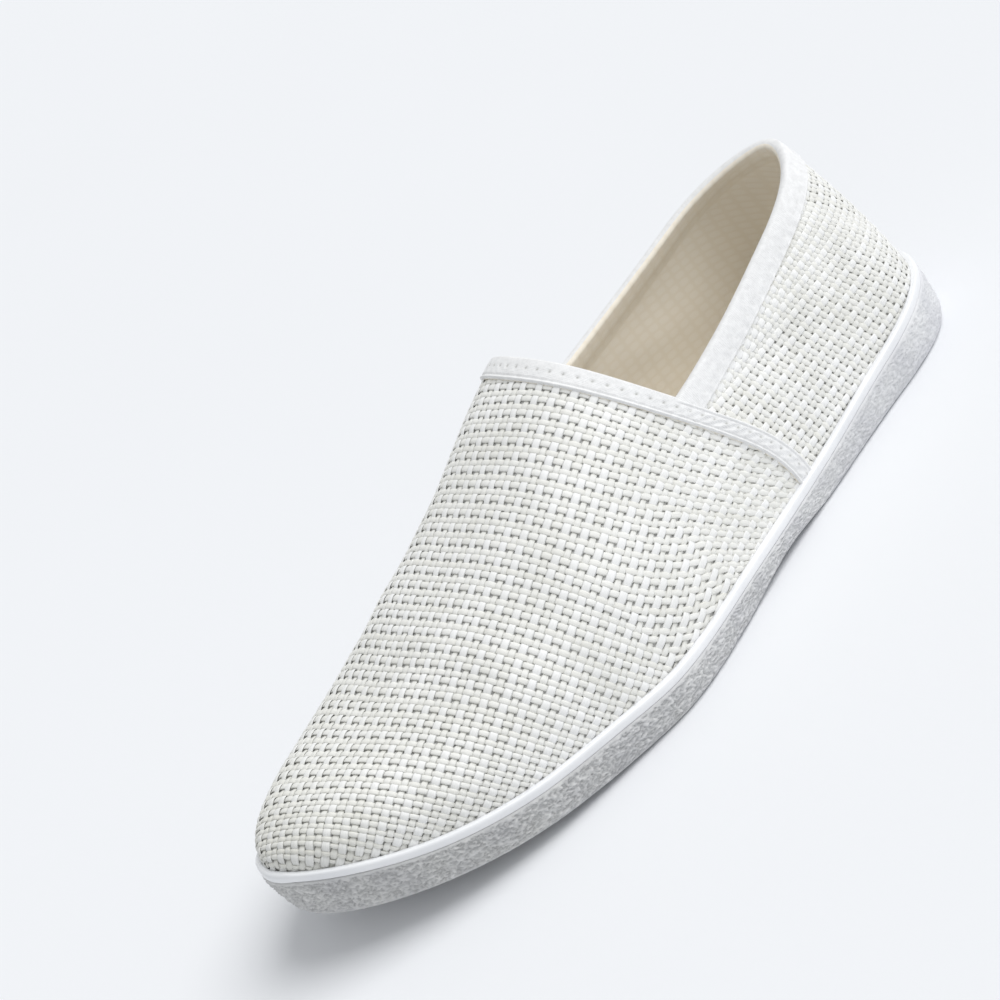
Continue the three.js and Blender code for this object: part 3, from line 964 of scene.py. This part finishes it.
def build_shell():
    near = THROAT_END - 22 * (np.linspace(0, 1, 26) ** 2)
    xs = np.unique(np.round(np.r_[outline_stations(2.4), near], 4))
    top = np.where(
        xs < CORNER_X, collar_turn(xs), np.where(xs < THROAT_END, throat_turn(xs), 1.0)
    )
    columns = []
    share = np.linspace(0, 1, SHELL_ROWS)[:, None]
    for side in SIDES:
        hem = section_length(xs, side) + BEAD_HEIGHT - GAP - 0.2
        from_ridge = hem + (ridge_length(xs, side, top) - hem) * share
        turn, drop = turn_at(xs[None, :], side, from_ridge)
        turn[-1] = top
        for out in (BACKING_OUT, LINING_IN):
            points, _ = place(np.broadcast_to(xs, turn.shape), side, turn, out + 0 * turn, drop)
            columns.append((points, from_ridge, np.broadcast_to(xs, turn.shape)))
    count = SHELL_ROWS * len(xs)
    quads = []
    finish_of = []
    for block in range(4):
        made = grid_quads(SHELL_ROWS, len(xs), False, block * count)
        flip = block in (0, 3)
        quads.append(made[:, ::-1] if flip else made)
        finish_of.append(np.full(len(made), block % 2))
    rim = np.arange(len(xs) - 1)
    for side_block in (0, 2):
        outer = side_block * count
        inner = (side_block + 1) * count
        for row, reverse in ((0, False), (SHELL_ROWS - 1, True)):
            line = rim + row * len(xs)
            if row:
                line = line[xs[1:][rim] <= THROAT_END + 1e-6]
            strip = np.stack([outer + line, outer + line + 1, inner + line + 1, inner + line], axis=-1)
            if reverse != (side_block == 2):
                strip = strip[:, ::-1]
            quads.append(strip)
            finish_of.append(np.full(len(strip), 1))
    points = np.concatenate([c[0].reshape(-1, 3) for c in columns])
    uv = np.concatenate([np.stack([c[2], c[1]], axis=-1).reshape(-1, 2) for c in columns])
    piece = add_mesh("upper_shell", points, np.concatenate(quads), uv, None,
                     (BACKING, LINING), np.concatenate(finish_of))
    weld(piece)
    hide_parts("upper")
    return piece


def weld(piece, distance=0.00002):
    """Joins points that lie at one place, such as those of the two sides on the ridge."""
    made = bmesh.new()
    made.from_mesh(piece.data)
    bmesh.ops.remove_doubles(made, verts=made.verts, dist=distance)
    bmesh.ops.recalc_face_normals(made, faces=made.faces)
    made.to_mesh(piece.data)
    made.free()


# Tapes: a closed section, swept along the topline. Each row of a section is a shift away from
# the cut edge over the outside (positive) and a height over the last
STITCH_PITCH = 4.3
HOLE_RADIUS = 0.55
HOLE_DEPTH = 0.38


def dimples(length, shift, at_shift):
    """How close a place on a tape is to the nearest of a row of stitch holes."""
    nearest = length / STITCH_PITCH
    along = (nearest - np.round(nearest)) * STITCH_PITCH
    over = shift - at_shift
    return np.exp(-(along * along + over * over) / HOLE_RADIUS ** 2)


def sweep(name, points, uv, hole, finish_rows):
    """A tape from its rings: rows run along the tape and columns round its section."""
    rows, columns = points.shape[:2]
    quads = grid_quads(rows, columns, True)
    caps = []
    for start in (0, (rows - 1) * columns):
        for i in range(columns // 2 - 1):
            j = columns - 1 - i
            caps.append((start + i, start + i + 1, start + j - 1, start + j))
    quads = np.concatenate([quads, np.array(caps)])
    finish_of = np.r_[np.tile(finish_rows, rows - 1), np.zeros(len(caps), dtype=int)]
    piece = add_mesh(name, points, quads, uv, {"hole": hole}, (TAPE_FINISH, LINING), finish_of)
    weld(piece)
    return piece


def ribbon_profile(width, edge_bead, rear_bead, top):
    """Outside of a flat tape: shift and height, with a raised piping along its edges."""
    near = np.linspace(0, 1.5, 10)
    between = np.linspace(1.5, width - 1.5, 16)[1:-1]
    shift = np.r_[near, between, np.linspace(width - 1.5, width, 10)]
    rise_front = edge_bead * np.exp(-((shift - 0.45) / 0.32) ** 2)
    rise_front = rise_front - 0.24 * np.exp(-((shift - 1.15) / 0.28) ** 2)
    rise_rear = rear_bead * np.exp(-((width - 0.45 - shift) / 0.32) ** 2)
    rise_rear = rise_rear - 0.6 * rear_bead * np.exp(-((width - 1.15 - shift) / 0.28) ** 2)
    edge = np.sqrt(np.clip(1 - (1 - np.clip(shift / 0.45, 0, 1)) ** 2, 0, 1))
    return shift, top * (0.35 + 0.65 * edge) + rise_front + rise_rear


TAPE_TOP = 1.05
TAPE_SWELL = 0.12
TAPE_STEP = 0.42
FOLD_LEG = -WALL - 1.1
FOLD_BLEND = 1.6
LEG_STEPS = np.r_[np.linspace(1, 0.005, 8), 0.0]
LEG_RISE = smoothstep(np.r_[np.linspace(-0.6, 1, 8), 1.0])


def inner_section(width, top, low, bulge, count, leg_rise, under, tip):
    """Inside of a folded tape: round the foot's edge, down the inner leg and back under the cloth."""
    angle = np.linspace(np.pi / 2, -np.pi / 2, count)[1:-1]
    middle_height = (top + low) / 2
    roll = np.stack([width + bulge * np.cos(angle), middle_height + (top - low) / 2 * np.sin(angle)], -1)
    leg = np.stack([0.4 + (width - 0.4) * LEG_STEPS, low + leg_rise * LEG_RISE], -1)
    back = [(0.5, -WALL + 0.2), (width - 0.6, -WALL + 0.2), (width - 0.2, -1.0),
            (width - 0.6, under), (0.3, under), tip]
    return np.concatenate([roll, leg, np.array(back)])


def throat_section(fold):
    """Section of the throat tape: folded over the edge ahead of the foot, flat beside the quarter."""
    width = THROAT_TAPE_WIDTH
    shift, height = ribbon_profile(width, 0.22, 0.22 * (1 - fold), TAPE_TOP)
    angle = np.linspace(np.pi / 2, -np.pi / 2, 12)[1:-1]
    flat_roll = np.stack([width + 0.15 * np.cos(angle), 0.2 + 0.6 * np.sin(angle)], -1)
    flat_leg = np.stack([0.6 + (width - 0.6) * LEG_STEPS, np.full(9, -0.45)], -1)
    flat_back = np.array([(0.6, -0.35), (width - 0.6, -0.35), (width - 0.5, -0.32),
                          (width - 0.6, -0.3), (0.3, -0.3), (-0.08, 0.1)])
    folded = inner_section(width, TAPE_TOP, FOLD_LEG, 1.15, 12, 1.06, -0.3, (-0.08, 0.1))
    flat = np.concatenate([flat_roll, flat_leg, flat_back])
    rest = folded * fold + flat * (1 - fold)
    return np.concatenate([np.stack([shift, height], -1), rest]), len(shift)


def throat_ring(turns, side, length, corner):
    """Rings of the throat tape on one side, from the ridge down to the bead."""
    width = THROAT_TAPE_WIDTH
    folds = 1 - smoothstep((length - corner + FOLD_BLEND) / (2 * FOLD_BLEND))
    sections = np.stack([throat_section(fold)[0] for fold in folds])
    count = throat_section(1.0)[1]
    s = sections[:, :, 0]
    h = sections[:, :, 1]
    outside = np.arange(s.shape[1]) < count
    low = smoothstep((length - corner + 8) / 12)[:, None]
    along = (side * length)[:, None]
    hole = dimples(along, s, width * 0.6) * outside
    uneven = 0.5 * np.sin(length[:, None] / 5.3) + 0.4 * np.sin(length[:, None] / 2.9 + s)
    hatch = np.sin(2 * np.pi * (length[:, None] - 1.1 * s) / STITCH_PITCH + uneven) * (0.75 + 0.5 * uneven)
    band = smoothstep((s - 1.2) / 0.8) * smoothstep((width - 1.2 - s) / 0.8) * outside
    h = h - HOLE_DEPTH * hole * (1 - 0.5 * low) + (0.05 + 0.12 * low) * hatch * band
    h = h + TAPE_SWELL * np.sin(np.pi * clamp01(s / width)) * outside
    x = throat_x(turns[:, None]) - s
    drop = 1.2 * smoothstep((length - length[-1] + 0.6) / 0.6)[:, None] + 0 * s
    points, _ = place(x, side, np.broadcast_to(turns[:, None], x.shape), h, drop)
    uv = np.stack([np.broadcast_to(along, s.shape), s - h], axis=-1)
    rows = (np.arange(s.shape[1]) >= count + 6).astype(int)
    return points, uv, hole, rows


def build_throat_tape():
    """Tape along the throat, from the bead on one side over the ridge to the bead on the other."""
    turns = np.linspace(1, 0, 6001)
    line = last_point(throat_x(turns, THROAT_TAPE_WIDTH / 2), 1, turns)
    length = np.r_[0, np.cumsum(np.linalg.norm(np.diff(line, axis=0), axis=1))]
    corner = np.interp(-CORNER_TURN, -turns, length)
    stops = np.linspace(0, length[-1], int(length[-1] / TAPE_STEP))
    over = np.interp(stops, length, turns)
    lateral = throat_ring(over, 1, stops, corner)
    medial = throat_ring(over, -1, stops, corner)
    points, uv, hole = (np.concatenate([m[:0:-1], l]) for m, l in zip(medial[:3], lateral[:3]))
    tape = sweep("throat_tape", points, uv, hole, lateral[3])
    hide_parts("throat_binding")
    return tape


def build_collar_tape():
    """Tape folded over the collar, from corner to corner round the heel."""
    width = COLLAR_TAPE_WIDTH
    shift = np.r_[0, np.linspace(0, 1.2, 8)[1:], np.linspace(1.2, width, 22)[1:]]
    edge = np.sqrt(np.clip(1 - (1 - np.clip(shift / 0.4, 0, 1)) ** 2, 0, 1))
    top = 0.9 * (0.4 + 0.6 * edge) + 0.12 * np.exp(-((shift - 0.35) / 0.3) ** 2)
    inner = inner_section(width, 0.9, -WALL - 1.0, 1.2, 14, 0.96, -0.4, (-0.06, 0.0))
    section = np.concatenate([np.stack([shift, top], -1), inner])
    outside = np.arange(len(section)) < len(shift)
    xs = np.r_[STATION_X[STATION_X < CORNER_X + 1.2], CORNER_X + 1.2]
    turn = collar_turn(xs)
    s = section[None, :, 0]
    made = []
    for side in SIDES:
        line = last_point(xs, side, turn)
        length = np.r_[0, np.cumsum(np.linalg.norm(np.diff(line, axis=0), axis=1))]
        stops = np.linspace(0, length[-1], int(length[-1] / TAPE_STEP))
        x = np.interp(stops, length, xs)
        edge_arc = ridge_length(x, side, collar_turn(x))
        hole = 0.35 * dimples(side * stops[:, None], s, width * 0.36) * outside
        ripple = 0.10 * np.sin(2 * np.pi * stops[:, None] / STITCH_PITCH) * smoothstep((4.2 - s) / 2)
        swell = TAPE_SWELL * np.sin(np.pi * clamp01(s / width))
        h = section[None, :, 1] - HOLE_DEPTH * hole + (ripple + swell) * outside
        grid_x = np.broadcast_to(x[:, None], h.shape)
        point_turn, _ = turn_at(grid_x, side, np.maximum(edge_arc[:, None] + width - s, 0))
        points, _ = place(grid_x, side, point_turn, h)
        uv = np.stack([np.broadcast_to(side * stops[:, None], h.shape), s - h], -1)
        made.append((points, uv, hole))
    parts = [np.concatenate([m[::-1][:-1], l]) for l, m in zip(made[0], made[1])]
    rows = (np.arange(len(section)) >= len(shift) + 7).astype(int)
    tape = sweep("collar_tape", *parts, rows)
    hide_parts("collar_binding")
    return tape


# Sole unit
def bead_section():
    """Shares outwards and up of the bead's section, from its inner foot round to its inner top."""
    low = np.linspace(-np.pi / 2, 0, 6)
    high = np.linspace(0, np.pi / 2, 11)
    out = np.r_[0.0, 0.4, 0.82 + 0.18 * np.cos(low), 0.5 + 0.5 * np.cos(high), 0.25, 0.0]
    up = np.r_[0.0, 0.0, 0.2 + 0.2 * np.sin(low), 0.55 + 0.45 * np.sin(high), 1.0, 1.0]
    return out, up


def build_bead():
    """Rounded rubber bead round the top of the sole."""
    xs = outline_stations(1.0)
    depth = BEAD_HEIGHT - GAP
    rings = []
    for across, up in zip(*bead_section()):
        out = GAP + (BEAD_WIDTH - GAP) * across
        rings.append(outline_loop(
            xs,
            lambda x, out=out: out + 0 * x,
            lambda x, up=up: feather(x) - depth * (1 - up) + 0.08 * np.sin(x / 13.0) * up,
        ))
    points = np.stack(rings, axis=1)
    rows = points.shape[1]
    quads = grid_quads(len(points), rows, True)
    close = np.arange(rows)
    last = (len(points) - 1) * rows
    wrap = np.stack([last + close, last + (close + 1) % rows, (close + 1) % rows, close], axis=-1)
    piece = add_mesh("bead_ring", points, np.concatenate([quads, wrap]), finish=(BEAD_FINISH,))
    weld(piece)
    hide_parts("welt_bead")
    return piece


SIDE_SHARES = (
    (0.0, 1.0), (0.05, 0.35), (0.2, 0.05), (0.45, 0.0), (0.75, 0.02), (0.96, 0.1), (1.0, 0.24),
)
CRINKLE_DEPTH = 0.75
CRINKLE_AT = (0.0, 0.35, 0.65, 1.0)
CRINKLE_FORCE = (0.6, 0.7, 1.05, 1.35)
SOLE_STEP = 0.42
SOLE_LEVELS = 40
TREAD_COLUMNS = 26
TOP_LIFT = 0.27
WARP_SHIFTS = (Vector((9.3, -1.5, -8.0)), Vector((0.0, 0.0, 0.0)), Vector((6.3, 0.2, -2.7)))


def sole_out(x, up):
    """How far the sole's side stands out from the feather line, leaning in round the toe."""
    toe = clamp01((x / UPPER_LENGTH - SPRING_START) / (1 - SPRING_START)) ** 2
    return SIDE_OVERHANG - TOE_TUCK * toe * (1 - up) ** TUCK_POWER


def crinkle(points):
    """Wrinkled relief of the sole's side, 0 in the hollows and 1 on the ridges."""
    values = np.empty(len(points))
    for i, (x, y, z) in enumerate(points):
        p = Vector((x, y, z * 1.8))
        warp = Vector([noise.noise(p * 0.35 + shift) for shift in WARP_SHIFTS]) * 0.7
        q = p * 0.6 + warp
        first = abs(noise.noise(q)) / 0.3
        second = abs(noise.noise(q * 1.9 + Vector((7.0, 3.0, 1.0)))) / 0.3
        values[i] = 0.68 * max(1 - first, 0.0) ** 1.2 + 0.32 * max(1 - second, 0.0)
    return values


def build_sole():
    """Outsole with its crinkled side, grooved tread and flat top."""
    xs = outline_stations(SOLE_STEP)
    loop, normal = outline_points(xs)
    count = len(loop)
    ups = np.r_[0.0, 0.02, np.linspace(0.05, 1.0, SOLE_LEVELS)]
    inward = np.interp(ups, [row[0] for row in SIDE_SHARES], [row[1] for row in SIDE_SHARES])
    inward[:3] = (1.0, 0.66, 0.4)
    rings = []
    for up, inn in zip(ups, inward):
        moved = loop + normal * (sole_out(loop[:, 0], up) - EDGE_ROUND * inn)[:, None]
        low = ground(moved[:, 0])
        moved[:, 2] = low + (sidewall_top(moved[:, 0]) - low) * up + (TOP_LIFT if up == 1 else 0)
        rings.append(moved)
    side = np.stack(rings)
    relief = crinkle(side.reshape(-1, 3)).reshape(side.shape[:2])
    fade = smoothstep((ups - 0.03) / 0.1) * (1 - 0.9 * smoothstep((ups - 0.92) / 0.07))
    force = fade[:, None] * np.interp(loop[:, 0] / UPPER_LENGTH, CRINKLE_AT, CRINKLE_FORCE)[None]
    side = side + normal[None] * (CRINKLE_DEPTH * (relief - 0.5) * force)[..., None]
    # The relief kept for the painted crease shade is scaled like the side's relief, strongest at the toe.
    relief = clamp01(0.5 + (relief - 0.5) * force)
    half = len(xs) - 1
    lateral = np.arange(1, half)
    medial = count - lateral
    share = np.linspace(0, 1, TREAD_COLUMNS)[None, 1:-1, None]
    bottom = side[0]
    tread = bottom[lateral][:, None] * (1 - share) + bottom[medial][:, None] * share
    tread[..., 2] = ground(tread[..., 0])
    tread[..., 2] += groove_depth(tread)
    start = side.shape[0] * count
    width = TREAD_COLUMNS - 2
    inner = start + np.arange(len(lateral))[:, None] * width + np.arange(width)[None]
    full = np.concatenate([lateral[:, None], inner, medial[:, None]], axis=1)
    tread_quads = np.stack([full[:-1, :-1], full[:-1, 1:], full[1:, 1:], full[1:, :-1]], -1).reshape(-1, 4)
    ends = [(0, full[0, i], full[0, i + 1]) for i in range(TREAD_COLUMNS - 1)]
    ends += [(half, full[-1, i + 1], full[-1, i]) for i in range(TREAD_COLUMNS - 1)]
    top = (len(ups) - 1) * count
    lid = [(top + a, top + a + 1, top + count - a - 1, top + count - a) for a in range(1, half - 1)]
    quads = [grid_quads(len(ups), count, True), tread_quads, np.array(lid)]
    points = np.concatenate([side.reshape(-1, 3), tread.reshape(-1, 3)])
    values = np.concatenate([relief.ravel(), np.full(tread[..., 0].size, 0.6)])
    piece = add_mesh("sole_unit", points, np.concatenate(quads), None, {"relief": values}, (SOLE_FINISH,))
    close_ends(piece, ends, [(top, top + 1, top + count - 1), (top + half, top + half + 1, top + half - 1)])
    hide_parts("outsole")
    return piece


def groove_depth(points):
    """Depth of the tread's cross grooves, inside a plain rim."""
    x = points[..., 0]
    at = x / UPPER_LENGTH
    number = np.round(x / GROOVE_PITCH)
    away = np.abs(x - number * GROOVE_PITCH)
    plain = (at > HEEL_FLAT_END) & (at < BALL_FLAT_START) | (at > TREAD_END) | (number < 1)
    left = middle(x) + half_width(x, 1) - TREAD_RIM
    right = middle(x) - half_width(x, -1) + TREAD_RIM
    reach = smoothstep((left - points[..., 1]) / 1.2) * smoothstep((points[..., 1] - right) / 1.2)
    return np.where(plain, 0.0, GROOVE_DEPTH * smoothstep((GROOVE_WIDTH / 2 + 0.3 - away) / 0.6) * reach)


def close_ends(piece, *groups):
    """Adds the three-cornered faces at the tips of the tread and of the flat top."""
    made = bmesh.new()
    made.from_mesh(piece.data)
    made.verts.ensure_lookup_table()
    for group in groups:
        for corners in group:
            face = made.faces.new([made.verts[int(i)] for i in corners])
            face.smooth = True
    bmesh.ops.recalc_face_normals(made, faces=made.faces)
    made.to_mesh(piece.data)
    made.free()


INSOLE_COLUMNS = 30
INSOLE_DISH = 0.8


def build_insole():
    """Cloth-covered insole, a little dished under the heel."""
    xs = outline_stations(1.6)
    inset = outline_loop(xs, lambda x: -WALL - GAP + 0 * x, lambda x: sidewall_top(x) + GAP)
    half = len(xs) - 1
    lateral = np.arange(1, half)
    medial = len(inset) - lateral
    share = np.linspace(0, 1, INSOLE_COLUMNS)[None, :, None]
    low = inset[lateral][:, None] * (1 - share) + inset[medial][:, None] * share
    high = low.copy()
    edge = np.minimum(share[..., 0], 1 - share[..., 0]) * 2
    heel = np.exp(-((high[..., 0] - 45) / 45) ** 2)
    end = smoothstep((high[..., 0] - 2) / 6) * smoothstep((UPPER_LENGTH - 3 - high[..., 0]) / 6)
    soft = 1 - (1 - clamp01(edge * 12)) ** 2
    high[..., 2] += INSOLE_THICKNESS * (0.75 + 0.25 * soft) - INSOLE_DISH * heel * smoothstep(edge) * end
    points = np.concatenate([low.reshape(-1, 3), high.reshape(-1, 3)])
    rows = len(lateral)
    count = rows * INSOLE_COLUMNS
    quads = [grid_quads(rows, INSOLE_COLUMNS)[:, ::-1], grid_quads(rows, INSOLE_COLUMNS, start=count)]
    r = np.arange(rows - 1) * INSOLE_COLUMNS
    for edge_column in (0, INSOLE_COLUMNS - 1):
        a = r + edge_column
        b = a + INSOLE_COLUMNS
        quads.append(np.stack([a, b, b + count, a + count], axis=-1))
    c = np.arange(INSOLE_COLUMNS - 1)
    for row in (0, rows - 1):
        a = row * INSOLE_COLUMNS + c
        quads.append(np.stack([a, a + 1, a + 1 + count, a + count], axis=-1))
    piece = add_mesh("insole_pad", points, np.concatenate(quads), finish=(INSOLE_FINISH,))
    weld(piece)
    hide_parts("insole")
    return piece


# Floor, light and camera
def build_floor():
    mesh = bpy.data.meshes.new("floor")
    reach = 6.0
    mesh.from_pydata([(-reach, -reach, 0), (reach, -reach, 0), (reach, reach, 0), (-reach, reach, 0)],
                     [], [(0, 1, 2, 3)])
    floor = bpy.data.objects.new("floor", mesh)
    bpy.context.collection.objects.link(floor)
    material, tree, shader = new_material("pale_floor", {"Roughness": 0.9})
    paint(tree, shader, colour_ramp(tree, solid_noise(tree, 3.0), (
        (0.0, (0.935, 0.94, 0.95)), (1.0, (0.945, 0.95, 0.96)),
    )))
    mesh.materials.append(material)


LIGHT_FROM = (-0.6, 0.35, 1.0)


def build_light():
    world = bpy.data.worlds.new("studio")
    bpy.context.scene.world = world
    world.use_nodes = True
    background = world.node_tree.nodes["Background"]
    background.inputs["Color"].default_value = (0.96, 0.98, 1.0, 1)
    background.inputs["Strength"].default_value = 0.53
    data = bpy.data.lights.new("window", "SUN")
    data.energy = 1.95
    data.angle = math.radians(45)
    light = bpy.data.objects.new("window", data)
    light.rotation_euler = Vector(LIGHT_FROM).to_track_quat("Z", "Y").to_euler()
    bpy.context.collection.objects.link(light)


CAMERA_AIM = (151.8, -16.5, 53.4)
CAMERA_DISTANCE = 850.0
CAMERA_AZIMUTH = 155.2
CAMERA_ELEVATION = 26.9
CAMERA_ROLL = -36.0
CAMERA_LENS = 103.03


def build_camera():
    a = math.radians(CAMERA_AZIMUTH)
    e = math.radians(CAMERA_ELEVATION)
    r = math.radians(CAMERA_ROLL)
    back = Vector((math.sin(a) * math.cos(e), -math.cos(a) * math.cos(e), math.sin(e)))
    right = (-back).cross(Vector((0, 0, 1))).normalized()
    up = right.cross(-back)
    rolled_right = right * math.cos(r) + up * math.sin(r)
    rolled_up = up * math.cos(r) - right * math.sin(r)
    aim = Vector(to_frame(np.array(CAMERA_AIM)))
    data = bpy.data.cameras.new("camera")
    data.lens = CAMERA_LENS
    data.sensor_width = 36.0
    data.clip_start = 0.01
    data.clip_end = 50.0
    camera = bpy.data.objects.new("camera", data)
    turn = Matrix((rolled_right, rolled_up, back)).transposed().to_4x4()
    camera.matrix_world = Matrix.Translation(aim + back * CAMERA_DISTANCE * MM) @ turn
    bpy.context.collection.objects.link(camera)
    bpy.context.scene.camera = camera


build_shell()
build_vamp()
build_quarters()
build_throat_tape()
build_collar_tape()
build_bead()
build_sole()
build_insole()
build_floor()
build_light()
build_camera()
bpy.context.scene.view_settings.view_transform = "Standard"
